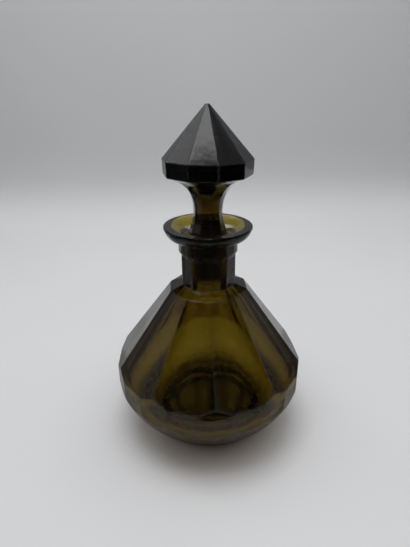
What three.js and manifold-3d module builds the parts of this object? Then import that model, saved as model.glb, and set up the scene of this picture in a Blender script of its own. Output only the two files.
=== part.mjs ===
// Liqueur decanter in thick smoky glass: a bottle cut with ten long panels over a ring of twenty
// small facets, and a solid stopper cut with ten sides that stands in the ground neck.
// Millimetres, +Z up. The origin is the centre of the foot, on the table, and one corner of the
// ten-sided body points along -Y.

import * as THREE from 'three';
import { mergeVertices } from 'three/addons/utils/BufferGeometryUtils.js';
import Module from 'manifold-3d';

const wasm = await Module();
wasm.setup();

// Cutting pattern and smoothness
const sides = 10;                // long panels of the body, sides of the neck and of the stopper
const facetsPerSide = 2;         // small facets of the belt for each long panel
const roundSteps = 60;           // steps round a turned surface
const curveSteps = 6;            // steps along one curve of a profile

// Foot and bowl of the bottle
const footRadius = 32.5;
const footBevel = 0.8;           // ground edge of the foot
const kickRadius = 24;           // hollow polished in the middle of the foot
const kickDepth = 1.4;
const bowlSpringAngle = 44;      // degrees from the table at which the bowl leaves the foot
const bowlWidestHeight = 41;
const bowlSwell = 1.3;           // how far the round bowl stands outside the belt of facets

// Body, shoulder and neck, with corner radii for what has ten sides
const girdleHeight = 52.3;       // height of the points where two long panels end
const girdleRadius = 58;
const panelRise = 46;            // from those points up to the shoulder
const shoulderRadius = 24;
const shoulderRise = 3;          // the ten short facets that close in on the neck
const neckRadius = 16.5;
const neckLength = 18.3;

// Round collar and cupped lip
const collarRadius = 17.4;
const collarChamfer = 2.2;
const collarHeight = 6.8;        // plain band between the chamfer and the lip
const lipStep = 1.1;             // shadow step where the lip leaves the collar
const lipRise = 8;
const lipRadius = 25.7;
const lipBelly = 1.2;            // how much the turn of the lip hangs inside its rim, at the bottom
const lipEdge = 0.8;             // rounded edge of the rim
const cupRadius = 21;            // inner edge of the flat rim
const cupDepth = 5;              // from the rim down to the mouth of the ground bore
const cupWallDrop = 3.4;         // depth of the steep part of the cup's wall
const cupFlat = 3.4;             // how far the steep part comes in from the rim

// Hollow of the bottle
const baseThickness = 14.5;
const floorRound = 2.5;          // rounded corner between the hollow's floor and its side
const bowlWall = 5.5;            // glass of the bowl, square to its surface
const panelWall = 5.5;           // glass behind a long panel, square to it
const girdleRound = 7;           // rounded turn of the hollow behind the girdle
const archDrop = 13;             // from the shoulder down to where the hollow arches in
const archFlat = 3.6;            // how far the arch ends below the foot of the neck
const throatRound = 2.6;         // rounded corner from the arch into the neck

// Ground joint of stopper and neck
const plugTopRadius = 9.9;
const plugTaper = 0.046;         // loss of radius for each millimetre down
const plugLength = 26;
const plugEdge = 0.7;
const groundClearance = 0.3;     // between the plug and its bore, square to the axis
const mouthRound = 0.8;          // eased edge of the bore in the cup

// Stopper above the joint, with corner radii
const footLift = 0.7;            // from the mouth of the bore up to the stopper's foot
const footUndercut = 1.5;
const stopperFootRadius = 11;
const stemRise = 10.7;           // from the edge of the foot up to the waist
const waistRadius = 8.3;
const flareRise = 17;            // from the waist up to the turned-out edge of the flare
const flareRadius = 21.2;
const flareTurn = 12.4;          // how high in the flare its curve turns outwards
const underBevel = 3.8;          // from the edge of the flare up to the band
const bandLowRadius = 24.9;
const bandTopRadius = 25.2;
const bandHeight = 8.2;
const pointRise = 27.2;
const tipRadius = 1.2;
const stopperTurn = 9;           // degrees by which the stopper stands turned in the neck

// Heights that follow from the sizes above
const shoulderHeight = girdleHeight + panelRise;
const neckFootHeight = shoulderHeight + shoulderRise;
const collarFootHeight = neckFootHeight + neckLength;
const lipRootHeight = collarFootHeight + collarChamfer + collarHeight;
const rimHeight = lipRootHeight + lipRise;
const mouthHeight = rimHeight - cupDepth;
const stopperFootHeight = mouthHeight + footLift;
const plugEndHeight = mouthHeight - plugLength;

const toRadians = THREE.MathUtils.degToRad;
const apothemShare = Math.cos(Math.PI / sides);
const point = (radius, height) => new THREE.Vector2(radius, height);

// Points of a curve that leaves `from` towards `bend` and arrives at `to` from there.
function bent(from, bend, to, steps = curveSteps) {
  return new THREE.QuadraticBezierCurve(from, bend, to).getPoints(steps);
}

// A closed triangle mesh as a solid that can be joined and cut.
function solidOf(geometry) {
  geometry.deleteAttribute('normal');
  geometry.deleteAttribute('uv');
  const merged = mergeVertices(geometry, 1e-5);
  const index = merged.index.array;
  const triangles = [];
  for (let i = 0; i < index.length; i += 3) {
    const [a, b, c] = [index[i], index[i + 1], index[i + 2]];
    if (a !== b && b !== c && c !== a) triangles.push(a, b, c);
  }
  return new wasm.Manifold(new wasm.Mesh({
    numProp: 3,
    vertProperties: new Float32Array(merged.attributes.position.array),
    triVerts: new Uint32Array(triangles),
  }));
}

// A profile that runs up from the axis and back to it, turned about Z in so many steps.
// The first corner of a faceted solid lies `startAngle` round from -Y.
function turned(profile, steps, startAngle = 0) {
  const geometry = new THREE.LatheGeometry(profile, steps, startAngle);
  geometry.rotateX(Math.PI / 2);
  return solidOf(geometry);
}

function geometryOf(solid) {
  const mesh = solid.getMesh();
  const geometry = new THREE.BufferGeometry();
  geometry.setAttribute('position', new THREE.BufferAttribute(mesh.vertProperties, 3));
  geometry.setIndex(new THREE.BufferAttribute(mesh.triVerts, 1));
  geometry.computeVertexNormals();
  return geometry;
}

// Distance from the axis to the middle of a long panel, at a height.
const panelSlope = (girdleRadius - shoulderRadius) * apothemShare / panelRise;
function panelReach(height) {
  return girdleRadius * apothemShare - panelSlope * (height - girdleHeight);
}

// The ten-sided cutting: long panels carried on down past the girdle, shoulder and neck.
function tenSidedBody() {
  return turned([
    point(0, 0),
    point(panelReach(0) / apothemShare, 0),
    point(shoulderRadius, shoulderHeight),
    point(neckRadius, neckFootHeight),
    point(neckRadius, lipRootHeight),
    point(0, lipRootHeight),
  ], sides);
}

// The belt of upright facets, one under each corner of the body and one under each panel.
function facetBelt() {
  const facets = sides * facetsPerSide;
  const cornerRadius = girdleRadius / Math.cos(Math.PI / facets);
  return turned([
    point(0, 0),
    point(cornerRadius, 0),
    point(cornerRadius, rimHeight),
    point(0, rimHeight),
  ], facets, Math.PI / facets);
}

// The round bowl that the facets are cut into, open above so that it only shapes what is below.
function roundBowl() {
  const widest = girdleRadius + bowlSwell;
  const springHeight = (widest - footRadius) * Math.tan(toRadians(bowlSpringAngle));
  return turned([
    point(0, 0),
    point(footRadius - footBevel, 0),
    ...bent(
      point(footRadius, footBevel),
      point(widest, springHeight),
      point(widest, bowlWidestHeight),
      2 * curveSteps,
    ),
    point(widest, rimHeight),
    point(0, rimHeight),
  ], roundSteps);
}

function collarAndLip() {
  const lipRoot = point(collarRadius + lipStep, lipRootHeight);
  const lipTurn = point(lipRadius - lipBelly, lipRootHeight + lipBelly);
  const lipSide = point(lipRadius, rimHeight - lipEdge);
  return turned([
    point(0, collarFootHeight),
    point(neckRadius * apothemShare, collarFootHeight),
    point(collarRadius, collarFootHeight + collarChamfer),
    point(collarRadius, lipRootHeight),
    ...bent(lipRoot, lipTurn, lipSide),
    ...bent(lipSide, point(lipRadius, rimHeight), point(lipRadius - lipEdge, rimHeight), 3),
    point(0, rimHeight),
  ], roundSteps);
}

// Radius of the ground bore at a height. Below the plug's end it stays as it is there.
function boreRadius(height) {
  return plugTopRadius + groundClearance - plugTaper * (mouthHeight - height);
}

// All that is hollow: the bulb of the body, the throat, the ground bore and the cup of the lip.
function hollow() {
  const widest = girdleRadius + bowlSwell - bowlWall;
  const spring = toRadians(bowlSpringAngle);
  const innerBowlReach = (height) => (
    footRadius - bowlWall / Math.sin(spring) + height / Math.tan(spring)
  );
  const innerBowlHeight = (radius) => (
    (radius - footRadius + bowlWall / Math.sin(spring)) * Math.tan(spring)
  );
  const heelHeight = baseThickness + floorRound;
  const innerPanelReach = (height) => panelReach(height) - panelWall * Math.hypot(1, panelSlope);
  const innerPanelHeight = girdleHeight + (innerPanelReach(girdleHeight) - widest) / panelSlope;
  const turnFoot = innerPanelHeight - girdleRound / 2;
  const turnHeight = innerPanelHeight + girdleRound;
  const archFoot = shoulderHeight - archDrop;
  const archHead = neckFootHeight - archFlat;
  const throatRadius = boreRadius(plugEndHeight);
  return turned([
    point(0, baseThickness),
    ...bent(
      point(innerBowlReach(baseThickness) - floorRound, baseThickness),
      point(innerBowlReach(baseThickness), baseThickness),
      point(innerBowlReach(heelHeight), heelHeight),
      4,
    ),
    ...bent(
      point(innerBowlReach(heelHeight + 1), heelHeight + 1),
      point(widest, innerBowlHeight(widest)),
      point(widest, Math.min(bowlWidestHeight, turnFoot - 0.1)),
    ),
    ...bent(
      point(widest, turnFoot),
      point(widest, innerPanelHeight),
      point(innerPanelReach(turnHeight), turnHeight),
    ),
    ...bent(
      point(innerPanelReach(archFoot), archFoot),
      point(innerPanelReach(archHead - throatRound / 2), archHead - throatRound / 2),
      point(throatRadius + throatRound, archHead),
    ),
    ...bent(
      point(throatRadius + throatRound / 2, archHead + throatRound / 4),
      point(throatRadius, archHead + throatRound / 2),
      point(throatRadius, archHead + throatRound),
      3,
    ),
    point(throatRadius, plugEndHeight),
    point(boreRadius(mouthHeight), mouthHeight),
    ...bent(
      point(boreRadius(mouthHeight) + mouthRound, mouthHeight + mouthRound / 3),
      point(cupRadius - cupFlat, rimHeight - cupWallDrop),
      point(cupRadius, rimHeight),
    ),
    point(cupRadius, rimHeight + cupDepth),
    point(0, rimHeight + cupDepth),
  ], roundSteps);
}

// The shallow lens ground out of the foot, so that the bottle stands on a ring.
function kick() {
  return turned([
    point(0, -kickDepth),
    point(kickRadius, -kickDepth),
    ...bent(point(kickRadius, 0), point(kickRadius / 2, kickDepth), point(0, kickDepth)),
  ], roundSteps);
}

function bottleSolid() {
  const cutBody = tenSidedBody().intersect(facetBelt()).intersect(roundBowl());
  return cutBody.add(collarAndLip()).subtract(hollow()).subtract(kick());
}

// The cut part of the stopper, from its foot in the cup up to its point.
function cutStopper() {
  const footEdgeHeight = stopperFootHeight + footUndercut;
  const waistHeight = footEdgeHeight + stemRise;
  const flareHeight = waistHeight + flareRise;
  const bandHeightLow = flareHeight + underBevel;
  const bandHeightTop = bandHeightLow + bandHeight;
  return turned([
    point(0, stopperFootHeight),
    point(plugTopRadius / apothemShare, stopperFootHeight),
    ...bent(
      point(stopperFootRadius, footEdgeHeight),
      point(waistRadius, waistHeight - stemRise / 2),
      point(waistRadius, waistHeight),
    ),
    ...bent(
      point(waistRadius, waistHeight),
      point(waistRadius, waistHeight + flareTurn),
      point(flareRadius, flareHeight),
    ).slice(1),
    point(bandLowRadius, bandHeightLow),
    point(bandTopRadius, bandHeightTop),
    point(tipRadius, bandHeightTop + pointRise),
    point(0, bandHeightTop + pointRise),
  ], sides);
}

// The ground plug, round and tapered, reaching a little way up into the cut foot.
function groundPlug() {
  const endRadius = plugTopRadius - plugTaper * plugLength;
  const topHeight = stopperFootHeight + footUndercut / 2;
  return turned([
    point(0, plugEndHeight),
    point(endRadius - plugEdge, plugEndHeight),
    point(endRadius + plugTaper * plugEdge, plugEndHeight + plugEdge),
    point(plugTopRadius, mouthHeight),
    point(plugTopRadius, topHeight),
    point(0, topHeight),
  ], roundSteps);
}

function glass(colour, roughness) {
  return new THREE.MeshStandardMaterial({
    color: colour,
    roughness,
    metalness: 0,
    transparent: true,
    opacity: 0.6,
    flatShading: true,
  });
}

const bottle = new THREE.Mesh(geometryOf(bottleSolid()), glass(0x6e6426, 0.04));
bottle.name = 'bottle';

const stopper = new THREE.Mesh(
  geometryOf(cutStopper().add(groundPlug())),
  glass(0x3c3620, 0.04),
);
stopper.name = 'stopper';
stopper.rotation.z = toRadians(stopperTurn);

const decanter = new THREE.Group();
decanter.add(bottle, stopper);

export default decanter;
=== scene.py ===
"""Dresses the liqueur decanter: thick smoky olive glass, cut in panels, on a pale studio sweep.

The bottle and the stopper are each one closed skin: a grid wrapped round the upright axis, whose
rings take the height and the reach that the cutting planes leave at each angle, so that they
follow the edges between the facets. Sizes of the glass are in millimetres until a mesh is
written. The studio and the camera are in metres.
"""

import math

import bmesh
import bpy
from mathutils import Matrix, Vector


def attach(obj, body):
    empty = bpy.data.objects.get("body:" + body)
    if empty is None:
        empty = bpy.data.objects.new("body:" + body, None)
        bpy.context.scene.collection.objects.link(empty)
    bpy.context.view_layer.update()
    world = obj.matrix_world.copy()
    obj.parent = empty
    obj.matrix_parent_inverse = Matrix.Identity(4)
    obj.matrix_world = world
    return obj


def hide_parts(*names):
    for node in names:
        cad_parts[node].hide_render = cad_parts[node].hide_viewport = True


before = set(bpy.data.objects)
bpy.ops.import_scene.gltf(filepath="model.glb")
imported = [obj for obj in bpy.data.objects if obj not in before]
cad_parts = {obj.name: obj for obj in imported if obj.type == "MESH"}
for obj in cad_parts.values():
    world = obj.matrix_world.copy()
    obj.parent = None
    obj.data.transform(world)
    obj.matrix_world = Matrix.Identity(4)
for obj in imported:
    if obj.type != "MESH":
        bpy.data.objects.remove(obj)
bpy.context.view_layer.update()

MM = 0.001

# Cutting pattern
SIDES = 10
BELT_FACETS = 20
ARRIS_SOFTNESS = 0.28  # how far a polished edge between two planes is taken off
CORNER_ROUND = 0.25  # how far a polished corner of a profile is taken off
SHARP_TURN = 0.2  # radians; a line that turns less at a point is part of a curve there
CORNER_SHARE = 0.3  # the most of the way to the next point that a corner takes
GUARD_REACH = 1.6  # how far out the guard points stand, from 1 at the ends of the corner
LEAST_REACH = 1  # where sloping planes would come closer to the axis or cross it

# Fineness of the skins
SECTORS = 40  # every edge between two facets lies on a multiple of 9 degrees
BOTTLE_COLUMNS = 400
STOPPER_COLUMNS = 240
CROWDING_OF_COLUMNS = 0.85  # towards the edges of a sector, from 0 for evenly to 1
CROWDING_OF_RINGS = 0.9  # towards the edges of a zone, likewise
FLAT_TURN = 0.03  # radians between the normals of a vertex and a face where glass is flat
ARRIS_TURN = 0.11  # and where it is fully an arris

# Bottle, with corner radii for what has ten sides
FOOT_RADIUS = 32.5
FOOT_BEVEL = 0.8
KICK_RADIUS = 24
KICK_DEPTH = 1.4
BOWL_SPRING_ANGLE = math.radians(44)
BOWL_WIDEST_HEIGHT = 41
BOWL_RADIUS = 59.3
GIRDLE_HEIGHT = 52.3
GIRDLE_RADIUS = 58
SHOULDER_HEIGHT = 98.3
SHOULDER_RADIUS = 24
NECK_FOOT_HEIGHT = 101.3
NECK_RADIUS = 16.5
COLLAR_FOOT_HEIGHT = 119.6
COLLAR_CHAMFER = 2.2
COLLAR_RADIUS = 17.4
COLLAR_EDGE_ROUND = 0.3
LIP_ROOT_HEIGHT = 128.6
LIP_STEP = 1.1
LIP_BELLY = 1.2
LIP_EDGE = 0.8
LIP_RADIUS = 25.7
RIM_HEIGHT = 136.6
CUP_RADIUS = 21
CUP_WALL_DROP = 3.4
CUP_FLAT = 3.4
MOUTH_HEIGHT = 131.6

# Hollow of the bottle
BASE_THICKNESS = 14.5
FLOOR_ROUND = 2.5
HEEL_RISE = 1
BOWL_WALL = 5.5
PANEL_WALL = 5.5
GIRDLE_ROUND = 7
ARCH_DROP = 13
ARCH_FLAT = 3.6
THROAT_ROUND = 2.6
MOUTH_ROUND = 0.8

# Ground joint and stopper
PLUG_TOP_RADIUS = 9.9
PLUG_TAPER = 0.046
PLUG_LENGTH = 26
PLUG_EDGE = 0.7
GROUND_CLEARANCE = 0.3
STOPPER_FOOT_HEIGHT = 132.3
STOPPER_FOOT_EDGE = 133.8
STOPPER_FOOT_RADIUS = 11
WAIST_HEIGHT = 144.5
WAIST_RADIUS = 8.3
FLARE_HEIGHT = 165.0
FLARE_RADIUS = 24.3
FLARE_TURN = 16.2
BAND_FOOT_HEIGHT = 165.4
BAND_FOOT_RADIUS = 24.9
BAND_TOP_HEIGHT = 173.5
BAND_TOP_RADIUS = 25.2
TIP_HEIGHT = 200.7
TIP_RADIUS = 1.2
STOPPER_TURN = math.radians(9)

# Glass
REFRACTION = 1.52
TINT = (0.606, 0.5265, 0.0, 1.0)
TINT_DENSITY = 490.0
LAMP_GAIN = 1.22  # what the light that real glass gathers adds to the light straight through
GROUND_ROUGHNESS = 0.42

# Relief of the glass, in millimetres
EVEN_SWELL = 0.0004
INSIDE_CORDS = 0.04
OUTSIDE_CORDS = 0.12
GRINDING = 0.03

# Dust and dullness on the glass, and a painted highlight along the edges between facets, as shares
# of its surface
EVEN_FILM = 0.0005
STREAK_FILM = 0.005
# painted highlight: a pale film along the edges between facets, standing in for the light that
# polished edges catch
ARRIS_PAINTED_HIGHLIGHT = 0.035
SPECK_FILM = 0.9
SPECKS_FULL_RISE = 1  # above the floor of the hollow
SPECKS_END_RISE = 5

CORNER = math.cos(math.pi / SIDES)  # from the corners of ten sides to their middles
HALF_SIDE = math.pi / SIDES
PLUG_END_HEIGHT = MOUTH_HEIGHT - PLUG_LENGTH
COLLAR_EDGE_HEIGHT = COLLAR_FOOT_HEIGHT + COLLAR_CHAMFER
PANEL_SLOPE = (GIRDLE_RADIUS - SHOULDER_RADIUS) * CORNER / (SHOULDER_HEIGHT - GIRDLE_HEIGHT)
SHOULDER_SLOPE = (SHOULDER_RADIUS - NECK_RADIUS) * CORNER / (NECK_FOOT_HEIGHT - SHOULDER_HEIGHT)
BOWL_SPRING_HEIGHT = (BOWL_RADIUS - FOOT_RADIUS) * math.tan(BOWL_SPRING_ANGLE)


def bent(start, bend, end, steps=12):
    """Points of a curve that leaves start towards bend and arrives at end from there."""
    points = []
    for step in range(steps + 1):
        t = step / steps
        points.append(tuple(
            (1 - t) ** 2 * a + 2 * t * (1 - t) * b + t ** 2 * c
            for a, b, c in zip(start, bend, end)
        ))
    return points


def rounded(points):
    """The same line with each sharp corner taken off by a small curve, and a guard either side.

    Past the guard points the line is straight, so a worn corner stays as narrow as its curve.
    """
    line = [points[0]]
    for before, corner, after in zip(points, points[1:], points[2:]):
        way_in = Vector(corner) - Vector(before)
        way_out = Vector(after) - Vector(corner)
        if way_in.angle(way_out, 0) < SHARP_TURN:
            line.append(corner)
            continue
        ends = []
        for other in (before, after):
            share = min(CORNER_ROUND / max(math.dist(other, corner), 1e-6), CORNER_SHARE)
            ends.append([
                tuple(c + (o - c) * share * reach for c, o in zip(corner, other))
                for reach in (1, GUARD_REACH)
            ])
        line += [ends[0][1]] + bent(ends[0][0], corner, ends[1][0], steps=3) + [ends[1][1]]
    return line + [points[-1]]


def least(a, b):
    """The smaller of two reaches, with the edge between them taken off."""
    near = max(ARRIS_SOFTNESS - abs(a - b), 0)
    return min(a, b) - near * near / (4 * ARRIS_SOFTNESS)


def most(a, b):
    """The larger of two reaches, with the corner between them filled."""
    return -least(-a, -b)


def cut(reach, angle, count, first):
    """Radius at an angle inside a ring of upright planes, the first of which faces `first`."""
    step = 2 * math.pi / count
    off = (angle - first) % step
    return least(reach / math.cos(off), reach / math.cos(off - step))


def panel_reach(height):
    """How far from the axis the planes of the long panels stand."""
    return GIRDLE_RADIUS * CORNER - PANEL_SLOPE * (height - GIRDLE_HEIGHT)


def shoulder_reach(height):
    """How far from the axis the planes of the shoulder stand."""
    return SHOULDER_RADIUS * CORNER - SHOULDER_SLOPE * (height - SHOULDER_HEIGHT)


def bowl_height(radius):
    """Height at which the round bowl has a radius."""
    left = math.sqrt((BOWL_RADIUS - radius) / (BOWL_RADIUS - FOOT_RADIUS))
    return (
        left ** 2 * FOOT_BEVEL
        + 2 * left * (1 - left) * BOWL_SPRING_HEIGHT
        + (1 - left) ** 2 * BOWL_WIDEST_HEIGHT
    )


def bowl_radius(height):
    """Radius of the round bowl, whose side is a curve with a share t run at a height."""
    if height >= BOWL_WIDEST_HEIGHT:
        return BOWL_RADIUS
    a = FOOT_BEVEL - 2 * BOWL_SPRING_HEIGHT + BOWL_WIDEST_HEIGHT
    b = 2 * (BOWL_SPRING_HEIGHT - FOOT_BEVEL)
    c = FOOT_BEVEL - height
    t = (-b + math.sqrt(b * b - 4 * a * c)) / (2 * a)
    return BOWL_RADIUS - (BOWL_RADIUS - FOOT_RADIUS) * (1 - t) ** 2


def belt_radius(angle):
    """Radius inside the small facets of the belt."""
    return cut(GIRDLE_RADIUS, angle, BELT_FACETS, 0)


def neck_radius(angle):
    """Radius inside the sides of the neck."""
    return cut(NECK_RADIUS * CORNER, angle, SIDES, HALF_SIDE)


def collar_radius(height):
    """Radius of the round collar, whose chamfer starts inside the neck at the collar's foot."""
    share = (height - COLLAR_FOOT_HEIGHT) / COLLAR_CHAMFER
    low = NECK_RADIUS * CORNER
    return low + (COLLAR_RADIUS - low) * min(share, 1) if share > 0 else 0


def cut_radius(angle, height):
    """Outside radius of the bottle from its foot to the root of its lip."""
    body = least(bowl_radius(height), belt_radius(angle))
    body = least(body, cut(max(panel_reach(height), LEAST_REACH), angle, SIDES, HALF_SIDE))
    body = least(body, cut(max(shoulder_reach(height), LEAST_REACH), angle, SIDES, HALF_SIDE))
    return most(body, most(neck_radius(angle), collar_radius(height)))


def scallop_height(angle):
    """Where a facet of the belt runs out into the round bowl below it."""
    return bowl_height(belt_radius(angle))


def girdle_height(angle):
    """Where a facet of the belt ends under a long panel."""
    off = angle % (2 * HALF_SIDE) - HALF_SIDE
    inset = panel_reach(GIRDLE_HEIGHT) - belt_radius(angle) * math.cos(off)
    return GIRDLE_HEIGHT + inset / PANEL_SLOPE


def arch_height(angle):
    """Where a side of the neck ends under the round chamfer of the collar."""
    low = NECK_RADIUS * CORNER
    share = (neck_radius(angle) - low) / (COLLAR_RADIUS - low)
    return COLLAR_FOOT_HEIGHT + share * COLLAR_CHAMFER


def level(height):
    """A line round the bottle at one height."""
    return lambda angle: height


def crowded(t, crowding):
    """A share of the way, moved towards the nearer end of it."""
    return t - crowding * math.sin(2 * math.pi * t) / (2 * math.pi)


def zone_rings(low, high, steps, crowd_low=True):
    """Rings between two lines round the bottle, crowded towards both lines or the high one."""
    rings = []
    for step in range(steps):
        t = step / steps
        if crowd_low:
            t = crowded(t, CROWDING_OF_RINGS)
        else:
            t = math.sin(math.pi * t / 2)

        def ring(angle, t=t):
            height = low(angle) + (high(angle) - low(angle)) * t
            return cut_radius(angle, height), height

        rings.append(ring)
    return rings


def round_rings(points):
    """Round rings at the radius and height of each point."""
    return [lambda angle, point=point: point for point in points]


def cut_rings(points, first):
    """Rings of ten sides through points that give their corners."""
    return [
        lambda angle, point=point: (cut(point[0] * CORNER, angle, SIDES, first), point[1])
        for point in points
    ]


def bore_radius(height):
    """Radius of the ground bore, a clearance wider than the plug."""
    return PLUG_TOP_RADIUS + GROUND_CLEARANCE - PLUG_TAPER * (MOUTH_HEIGHT - height)


def hollow_points():
    """Profile of the hollow from the mouth of the ground bore down to the middle of its floor."""
    widest = BOWL_RADIUS - BOWL_WALL
    lean = BOWL_WALL / math.sin(BOWL_SPRING_ANGLE) - FOOT_RADIUS
    rise = math.tan(BOWL_SPRING_ANGLE)

    def bowl(height):
        return height / rise - lean, height

    def panel(height):
        return panel_reach(height) - PANEL_WALL * math.hypot(1, PANEL_SLOPE), height

    heel = BASE_THICKNESS + FLOOR_ROUND
    floor_edge = bowl(BASE_THICKNESS)
    turn = GIRDLE_HEIGHT + (panel(GIRDLE_HEIGHT)[0] - widest) / PANEL_SLOPE
    arch_foot = SHOULDER_HEIGHT - ARCH_DROP
    arch_head = NECK_FOOT_HEIGHT - ARCH_FLAT
    throat = bore_radius(PLUG_END_HEIGHT)
    points = [(0, BASE_THICKNESS)]
    points += bent(
        (floor_edge[0] - FLOOR_ROUND, BASE_THICKNESS), floor_edge, bowl(heel), steps=8
    )
    points += bent(
        bowl(heel + HEEL_RISE),
        (widest, (widest + lean) * rise),
        (widest, BOWL_WIDEST_HEIGHT),
        steps=14,
    )
    points += bent(
        (widest, turn - GIRDLE_ROUND / 2), (widest, turn), panel(turn + GIRDLE_ROUND), steps=14
    )
    points += bent(
        panel(arch_foot),
        panel(arch_head - THROAT_ROUND / 2),
        (throat + THROAT_ROUND, arch_head),
        steps=14,
    )
    points += bent(
        (throat + THROAT_ROUND / 2, arch_head + THROAT_ROUND / 4),
        (throat, arch_head + THROAT_ROUND / 2),
        (throat, arch_head + THROAT_ROUND),
        steps=6,
    )
    return points[::-1]


def wrapped(name, rings, columns, marks):
    """A closed skin: a grid wrapped round Z, each row of it a ring, which is a function of angle.

    marks holds a name for each span of rings, and a vertex in the span gets that attribute.
    Another attribute, arris, tells how far a vertex lies on an edge between flat faces.
    """
    mesh = bmesh.new()
    rows = len(rings) - 1
    bmesh.ops.create_grid(mesh, x_segments=columns, y_segments=rows, size=0.5)
    layers = {mark: mesh.verts.layers.float.new(mark) for mark in marks}
    per_sector = columns // SECTORS
    seam = []
    for vert in mesh.verts:
        column = round((vert.co.x + 0.5) * columns)
        number = round((vert.co.y + 0.5) * rows)
        sector, step = divmod(column % columns, per_sector)
        t = crowded(step / per_sector, CROWDING_OF_COLUMNS)
        angle = (sector + t) * 2 * math.pi / SECTORS
        radius, height = rings[number](angle)
        vert.co = Vector((radius * math.sin(angle), -radius * math.cos(angle), height)) * MM
        for mark, span in marks.items():
            vert[layers[mark]] = float(number in span)
        if column in (0, columns) or radius == 0:
            seam.append(vert)
    bmesh.ops.remove_doubles(mesh, verts=seam, dist=1e-7)
    bmesh.ops.recalc_face_normals(mesh, faces=mesh.faces)
    for face in mesh.faces:
        face.smooth = True
    mesh.normal_update()
    arris = mesh.verts.layers.float.new("arris")
    for vert in mesh.verts:
        turn = max(vert.normal.angle(face.normal, 0) for face in vert.link_faces)
        vert[arris] = min(max((turn - FLAT_TURN) / (ARRIS_TURN - FLAT_TURN), 0.0), 1.0)
    data = bpy.data.meshes.new(name)
    mesh.to_mesh(data)
    mesh.free()
    piece = bpy.data.objects.new(name, data)
    bpy.context.scene.collection.objects.link(piece)
    normals = piece.modifiers.new("facet_normals", "WEIGHTED_NORMAL")
    normals.keep_sharp = False
    return piece


def bottle_piece():
    """The skin of the bottle, from the kick under its foot up, over the lip and down its hollow."""
    low = level(FOOT_BEVEL)
    foot = bent((0, KICK_DEPTH), (KICK_RADIUS / 2, KICK_DEPTH), (KICK_RADIUS, 0), steps=8)
    foot += [(FOOT_RADIUS - FOOT_BEVEL, 0), (FOOT_RADIUS, FOOT_BEVEL)]
    rings = round_rings(rounded(foot)[:-1])
    rings += zone_rings(low, scallop_height, steps=24, crowd_low=False)
    rings += zone_rings(scallop_height, girdle_height, steps=14)
    rings += zone_rings(girdle_height, level(SHOULDER_HEIGHT), steps=16)
    rings += zone_rings(level(SHOULDER_HEIGHT), level(NECK_FOOT_HEIGHT), steps=8)
    rings += zone_rings(level(NECK_FOOT_HEIGHT), arch_height, steps=12)
    rings += zone_rings(arch_height, level(COLLAR_EDGE_HEIGHT), steps=6)
    lip_side = (LIP_RADIUS, RIM_HEIGHT - LIP_EDGE)
    lip = [
        (COLLAR_RADIUS, COLLAR_EDGE_HEIGHT),
        (COLLAR_RADIUS, COLLAR_EDGE_HEIGHT + COLLAR_EDGE_ROUND),
        (COLLAR_RADIUS, LIP_ROOT_HEIGHT),
    ]
    lip += bent(
        (COLLAR_RADIUS + LIP_STEP, LIP_ROOT_HEIGHT),
        (LIP_RADIUS - LIP_BELLY, LIP_ROOT_HEIGHT + LIP_BELLY),
        lip_side,
        steps=16,
    )
    lip += bent(
        lip_side, (LIP_RADIUS, RIM_HEIGHT), (LIP_RADIUS - LIP_EDGE, RIM_HEIGHT), steps=6
    )
    lip += bent(
        (CUP_RADIUS, RIM_HEIGHT),
        (CUP_RADIUS - CUP_FLAT, RIM_HEIGHT - CUP_WALL_DROP),
        (bore_radius(MOUTH_HEIGHT) + MOUTH_ROUND, MOUTH_HEIGHT + MOUTH_ROUND / 3),
        steps=14,
    )
    rings += round_rings(rounded(lip)[:-1])
    bore_start = len(rings)
    bore = [(bore_radius(height), height) for height in (MOUTH_HEIGHT, PLUG_END_HEIGHT)]
    rings += round_rings([lip[-1]] + bore)
    bore_end = len(rings)
    rings += round_rings(hollow_points())
    marks = {"ground": range(bore_start, bore_end), "inside": range(bore_end, len(rings))}
    return wrapped("cut_bottle", rings, BOTTLE_COLUMNS, marks)


def stopper_piece():
    """The skin of the stopper: a round plug, then ten sides from its foot to its point."""
    first = HALF_SIDE + STOPPER_TURN
    end = PLUG_TOP_RADIUS - PLUG_TAPER * PLUG_LENGTH
    plug = rounded([
        (0, PLUG_END_HEIGHT),
        (end - PLUG_EDGE, PLUG_END_HEIGHT),
        (end, PLUG_END_HEIGHT + PLUG_EDGE),
        (PLUG_TOP_RADIUS, MOUTH_HEIGHT),
        (PLUG_TOP_RADIUS, STOPPER_FOOT_HEIGHT),
    ])
    head = [(PLUG_TOP_RADIUS / CORNER, STOPPER_FOOT_HEIGHT)]
    head += bent(
        (STOPPER_FOOT_RADIUS, STOPPER_FOOT_EDGE),
        (WAIST_RADIUS, (STOPPER_FOOT_EDGE + WAIST_HEIGHT) / 2),
        (WAIST_RADIUS, WAIST_HEIGHT),
        steps=16,
    )
    head += bent(
        (WAIST_RADIUS, WAIST_HEIGHT),
        (WAIST_RADIUS, WAIST_HEIGHT + FLARE_TURN),
        (FLARE_RADIUS, FLARE_HEIGHT),
        steps=20,
    )[1:]
    head += [
        (BAND_FOOT_RADIUS, BAND_FOOT_HEIGHT),
        (BAND_TOP_RADIUS, BAND_TOP_HEIGHT),
        (TIP_RADIUS, TIP_HEIGHT),
        (0, TIP_HEIGHT),
    ]
    rings = round_rings(plug) + cut_rings(rounded(head), first)
    marks = {"ground": range(len(plug)), "inside": range(0)}
    return wrapped("cut_stopper", rings, STOPPER_COLUMNS, marks)


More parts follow.
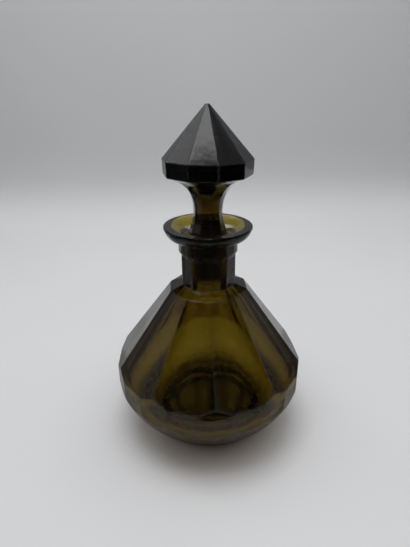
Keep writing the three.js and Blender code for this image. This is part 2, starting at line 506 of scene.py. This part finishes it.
class Wire:
    """An output socket whose arithmetic adds Math nodes to its tree."""

    def __init__(self, shader, socket):
        self.shader = shader
        self.socket = socket

    def __add__(self, other):
        return self.shader.math("ADD", self, other)

    __radd__ = __add__

    def __mul__(self, other):
        return self.shader.math("MULTIPLY", self, other)

    __rmul__ = __mul__

    def __sub__(self, other):
        return self.shader.math("SUBTRACT", self, other)

    def __rsub__(self, other):
        return self.shader.math("SUBTRACT", other, self)

    def __pow__(self, other):
        return self.shader.math("POWER", self, other)


class Shader:
    """A node tree that is written as expressions."""

    def __init__(self, tree):
        self.tree = tree
        tree.nodes.clear()

    def add(self, kind, settings=None, values=None):
        """Adds a node and returns its outputs by name as wires."""
        node = self.tree.nodes.new(kind)
        for name, setting in (settings or {}).items():
            setattr(node, name, setting)
        for name, value in (values or {}).items():
            if isinstance(value, Wire):
                self.tree.links.new(value.socket, node.inputs[name])
            else:
                node.inputs[name].default_value = value
        return {out.name: Wire(self, out) for out in node.outputs if out.enabled}

    def math(self, operation, *values):
        """Adds a Math node, for what no operator of a wire does."""
        node = self.add("ShaderNodeMath", {"operation": operation}, dict(enumerate(values)))
        return node["Value"]

    def noise(self, place, scale, detail):
        """Adds a noise whose grains measure about one over its scale."""
        values = {"Vector": place, "Scale": scale, "Detail": detail}
        return self.add("ShaderNodeTexNoise", None, values)["Fac"]

    def soft_step(self, value, start, end, low=0.0, high=1.0):
        """Adds a smooth change from low to high while a value runs from start to end."""
        return self.add("ShaderNodeMapRange", {"interpolation_type": "SMOOTHSTEP"}, {
            "Value": value,
            "From Min": start,
            "From Max": end,
            "To Min": low,
            "To Max": high,
        })["Result"]

    def blend(self, factor, first, second):
        """Adds a mix of two colours."""
        return self.add("ShaderNodeMix", {"data_type": "RGBA"}, {
            0: factor,
            6: (*first, 1.0),
            7: (*second, 1.0),
        })["Result"]


def smoky_glass(name, waviness):
    """Thick polished glass, darker the more of it light crosses, with matt ground surfaces.

    waviness is the height in millimetres of the slow swell that only the blown inside has.
    """
    material = bpy.data.materials.new(name)
    material.use_nodes = True
    shader = Shader(material.node_tree)
    place = shader.add("ShaderNodeTexCoord")["Object"]
    axes = shader.add("ShaderNodeSeparateXYZ", None, {"Vector": place})
    ground, inside, arris = (
        shader.add("ShaderNodeAttribute", {"attribute_name": mark})["Fac"]
        for mark in ("ground", "inside", "arris")
    )
    clean = 1 - ground
    polished = clean * (1 - inside)
    smear = shader.noise(place, 55.0, 4.0)

    # Streaks that a cloth and water left on the cut outside
    around = shader.math("ARCTAN2", axes["Y"], axes["X"])
    wiping = shader.add("ShaderNodeCombineXYZ", None, {"X": around * 9.0, "Y": axes["Z"] * 45.0})
    streaks = shader.soft_step(shader.noise(wiping["Vector"], 1.0, 5.0), 0.45, 0.75)

    # Specks that settled on the floor of the hollow, more of them towards its edge
    cells = shader.add("ShaderNodeTexVoronoi", None, {"Vector": place, "Scale": 430.0})["Distance"]
    off_centre = shader.math("SQRT", axes["X"] * axes["X"] + axes["Y"] * axes["Y"])
    speck_size = shader.noise(place, 160.0, 1.0) * 0.6 + off_centre * 8.0 - 0.3
    specks = shader.math("LESS_THAN", cells, speck_size)
    settled = shader.add("ShaderNodeMapRange", None, {
        "Value": axes["Z"],
        "From Min": (BASE_THICKNESS + SPECKS_END_RISE) * MM,
        "From Max": (BASE_THICKNESS + SPECKS_FULL_RISE) * MM,
    })["Result"]
    # A pale film: dust in streaks and evenly, a painted highlight along the edges between facets,
    # and the specks
    dust_and_painted_highlight_share = polished * (streaks * STREAK_FILM + arris * ARRIS_PAINTED_HIGHLIGHT + EVEN_FILM)
    dust_and_painted_highlight_share = dust_and_painted_highlight_share + inside * settled * specks * SPECK_FILM

    # Relief: the slow swell, the cords that blowing and polishing leave, and the ground joint
    relief = (
        shader.noise(place, 32.0, 1.0) * (inside * waviness + EVEN_SWELL)
        + shader.noise(place, 120.0, 2.0) * (inside * INSIDE_CORDS + polished * OUTSIDE_CORDS)
        + shader.noise(place, 4000.0, 2.0) * ground * GRINDING
    )
    bump = shader.add("ShaderNodeBump", None, {"Strength": 1.0, "Distance": MM, "Height": relief})
    glass = shader.add("ShaderNodeBsdfPrincipled", None, {
        "Base Color": shader.blend(smear, (1.0, 1.0, 1.0), (0.93, 0.93, 0.91)),
        "Roughness": (
            ground * GROUND_ROUGHNESS
            + clean * (smear ** 3 * 0.04 + streaks * (1 - inside) * 0.1)
        ),
        "IOR": REFRACTION,
        "Transmission Weight": 1.0,
        "Normal": bump["Normal"],
    })["BSDF"]
    # Pale grey of the dust, and of the painted highlight on the edges between facets
    dust_and_painted_highlight = shader.add("ShaderNodeBsdfPrincipled", None, {
        "Base Color": (0.62, 0.66, 0.72, 1.0),
        "Roughness": 0.8,
        "Specular IOR Level": 0.2,
    })["BSDF"]
    glass_under_dust_and_painted_highlight = shader.add("ShaderNodeMixShader", None, {0: dust_and_painted_highlight_share, 1: glass, 2: dust_and_painted_highlight})["Shader"]

    # The light of the lamps goes straight through to the floor, coloured by the tint
    lamp_ray = shader.add("ShaderNodeLightPath")["Is Shadow Ray"]
    clear = shader.add("ShaderNodeBsdfTransparent", None, {"Color": (*[LAMP_GAIN] * 3, 1.0)})
    surface = shader.add("ShaderNodeMixShader", None, {0: lamp_ray, 1: glass_under_dust_and_painted_highlight, 2: clear["BSDF"]})
    tint = shader.add("ShaderNodeVolumeAbsorption", None, {
        "Color": TINT,
        "Density": TINT_DENSITY,
    })
    shader.add("ShaderNodeOutputMaterial", None, {
        "Surface": surface["Shader"],
        "Volume": tint["Volume"],
    })
    return material


def paper(name, shade=1.0):
    """Backdrop paper with a faint tooth, and painted shade that makes it a little darker where it
    stands up behind the decanter.
    """
    material = bpy.data.materials.new(name)
    material.use_nodes = True
    shader = Shader(material.node_tree)
    place = shader.add("ShaderNodeTexCoord")["Object"]
    height = shader.add("ShaderNodeSeparateXYZ", None, {"Vector": place})["Z"]
    cloud = shader.noise(place, 9.0, 3.0)
    tooth_and_painted_shade = shader.add("ShaderNodeVectorMath", {"operation": "SCALE"}, {
        "Vector": shader.blend(cloud, (0.77, 0.775, 0.79), (0.80, 0.805, 0.82)),
        # painted shade: the colour is scaled darker up the upright part of the sheet
        "Scale": shader.soft_step(height, 0.0, 0.14, shade, 0.82 * shade),
    })
    surface = shader.add("ShaderNodeBsdfPrincipled", None, {
        "Base Color": tooth_and_painted_shade["Vector"],
        "Roughness": 0.9,
        "Specular IOR Level": 0.2,
    })["BSDF"]
    shader.add("ShaderNodeOutputMaterial", None, {"Surface": surface})
    return material


def swept_sheet(name, profile, left, right, material, mirrored=True):
    """A sheet that follows a profile of (y, z) points, from one x to another."""
    mesh = bmesh.new()
    line = [mesh.verts.new((left, y, z)) for y, z in profile]
    edges = [mesh.edges.new(pair) for pair in zip(line, line[1:])]
    side = bmesh.ops.extrude_edge_only(mesh, edges=edges)["geom"]
    moved = [v for v in side if isinstance(v, bmesh.types.BMVert)]
    bmesh.ops.translate(mesh, verts=moved, vec=(right - left, 0, 0))
    bmesh.ops.recalc_face_normals(mesh, faces=mesh.faces)
    for face in mesh.faces:
        face.smooth = True
    data = bpy.data.meshes.new(name)
    mesh.to_mesh(data)
    mesh.free()
    data.materials.append(material)
    sheet = bpy.data.objects.new(name, data)
    sheet.visible_glossy = mirrored
    bpy.context.scene.collection.objects.link(sheet)
    return sheet


def soft_box(name, place, target, size, radiance, edge=0.0, mirrored=True):
    """A flat lamp of a given brightness, which fades over the outer share `edge` of its width."""
    lamp = bpy.data.lights.new(name, "AREA")
    lamp.shape = "RECTANGLE"
    lamp.size, lamp.size_y = size
    lamp.energy = radiance * math.pi * size[0] * size[1]
    if edge:
        lamp.use_nodes = True
        shader = Shader(lamp.node_tree)
        across = shader.add("ShaderNodeSeparateXYZ", None, {
            "Vector": shader.add("ShaderNodeNewGeometry")["Parametric"],
        })
        fades = [
            shader.soft_step(shader.math("ABSOLUTE", across[axis] - 0.5), 0.5, 0.5 - edge)
            for axis in "XY"
        ]
        glow = shader.add("ShaderNodeEmission", None, {"Strength": fades[0] * fades[1]})["Emission"]
        shader.add("ShaderNodeOutputLight", None, {"Surface": glow})
    box = bpy.data.objects.new(name, lamp)
    box.location = place
    box.rotation_euler = (Vector(target) - Vector(place)).to_track_quat("-Z", "Y").to_euler()
    box.visible_glossy = mirrored
    box.visible_transmission = mirrored
    bpy.context.scene.collection.objects.link(box)
    return box


def mirror_card(name, profile, left, right, shade):
    """A grey card that only shows mirrored in the glass."""
    card = swept_sheet(name, profile, left, right, paper(name, shade))
    card.visible_camera = False
    card.visible_diffuse = False
    card.visible_transmission = False
    card.visible_shadow = False


def studio():
    """A pale sweep, soft lamps over it, and grey cards for what a real room puts in the glass."""
    pale = paper("backdrop_paper")
    front_edge = 0.12  # where the part of the sweep starts that shows mirrored in the glass
    sweep = [(front_edge, 0)] + bent((0.39, 0), (0.485, 0), (0.49, 0.075), steps=16)
    sweep += [(0.51, 0.36)]
    swept_sheet("backdrop", sweep, -0.43, 0.75, pale)
    swept_sheet("floor", [(-1.6, 0), (front_edge, 0)], -0.9, 0.9, pale, mirrored=False)

    lie = 0.0002  # a card lies this high over the floor
    mirror_card("near_card", [(-0.105, lie), (0.13, lie)], -0.17, 0.45, 0.46)
    mirror_card("rear_card", [(0.13, lie), (0.3, lie)], -0.17, 0.45, 0.74)
    mirror_card("left_card", [(-0.05, lie), (0.2, lie)], -0.5, -0.2, 0.32)
    mirror_card("front_card", [(-0.6, lie), (-0.13, lie)], -0.3, 0.3, 0.035)
    mirror_card("wall_card", [(0.44, 0.05), (0.46, 0.36)], -0.5, 0.5, 0.6)

    # Lamps that show mirrored in the glass
    soft_box("top_box", (-0.1, -0.01, 1.0), (-0.05, -0.01, 0), (0.66, 0.66), 3.2, edge=0.2)
    glare = soft_box("back_box", (0.03, 1.0, 0.94), (0, 0, 0.1), (0.8, 0.5), 3.0, edge=0.3)
    glare.visible_diffuse = False
    soft_box("right_box", (0.72, 0.02, 1.0), (0, 0, 0.1), (0.5, 0.5), 0.22)
    soft_box("left_box", (-0.75, 0.42, 0.95), (0, 0, 0.1), (0.35, 0.35), 1.3)

    # Lamps that only light the paper and cast the shadow
    soft_box("fill_box", (0.05, -0.05, 0.95), (0.02, 0, 0), (2.4, 1.5), 0.68, mirrored=False)
    soft_box("key_box", (0.07, -0.12, 1.1), (0.02, 0, 0), (0.75, 0.75), 1.05, mirrored=False)

    room()


def room():
    """A dim glow behind the sweep for the glass, and an even grey where the camera sees past it."""
    world = bpy.data.worlds.new("studio")
    world.use_nodes = True
    bpy.context.scene.world = world
    shader = Shader(world.node_tree)
    toward = shader.add("ShaderNodeTexCoord")["Generated"]
    axes = shader.add("ShaderNodeSeparateXYZ", None, {"Vector": toward})
    behind = shader.soft_step(axes["Y"], -0.45, 0.0)
    above = shader.soft_step(axes["Z"], -0.05, 0.2, low=0.15)
    below = shader.soft_step(axes["Z"], 0.65, 0.35)
    seen = shader.add("ShaderNodeLightPath")["Is Camera Ray"]
    glow = shader.add("ShaderNodeBackground", None, {
        "Color": (0.98, 0.99, 1.0, 1.0),
        "Strength": (behind * above * below * 0.24 + 0.01) * (1 - seen) + 0.42 * seen,
    })["Background"]
    shader.add("ShaderNodeOutputWorld", None, {"Surface": glow})


def camera():
    """The photograph's camera: a wide lens close to the decanter, looking down on its shoulder."""
    lens = bpy.data.cameras.new("camera")
    lens.lens = 26.9
    lens.sensor_width = 36
    lens.sensor_fit = "AUTO"
    lens.clip_start = 0.01
    heading, pitch, roll = (math.radians(degrees) for degrees in (3.18, 24.14, -0.48))
    view = bpy.data.objects.new("camera", lens)
    view.matrix_world = (
        Matrix.Translation((-0.01439, -0.2249, 0.2068))
        @ Matrix.Rotation(-heading, 4, "Z")
        @ Matrix.Rotation(math.pi / 2 - pitch, 4, "X")
        @ Matrix.Rotation(roll, 4, "Z")
    )
    bpy.context.scene.collection.objects.link(view)
    bpy.context.scene.camera = view


bottle = bottle_piece()
bottle.data.materials.append(smoky_glass("bottle_glass", waviness=0.05))
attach(bottle, "bottle")
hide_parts("bottle")

stopper = stopper_piece()
stopper.data.materials.append(smoky_glass("stopper_glass", waviness=0.0))
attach(stopper, "stopper")
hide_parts("stopper")

studio()
camera()
bpy.context.scene.view_settings.view_transform = "Standard"
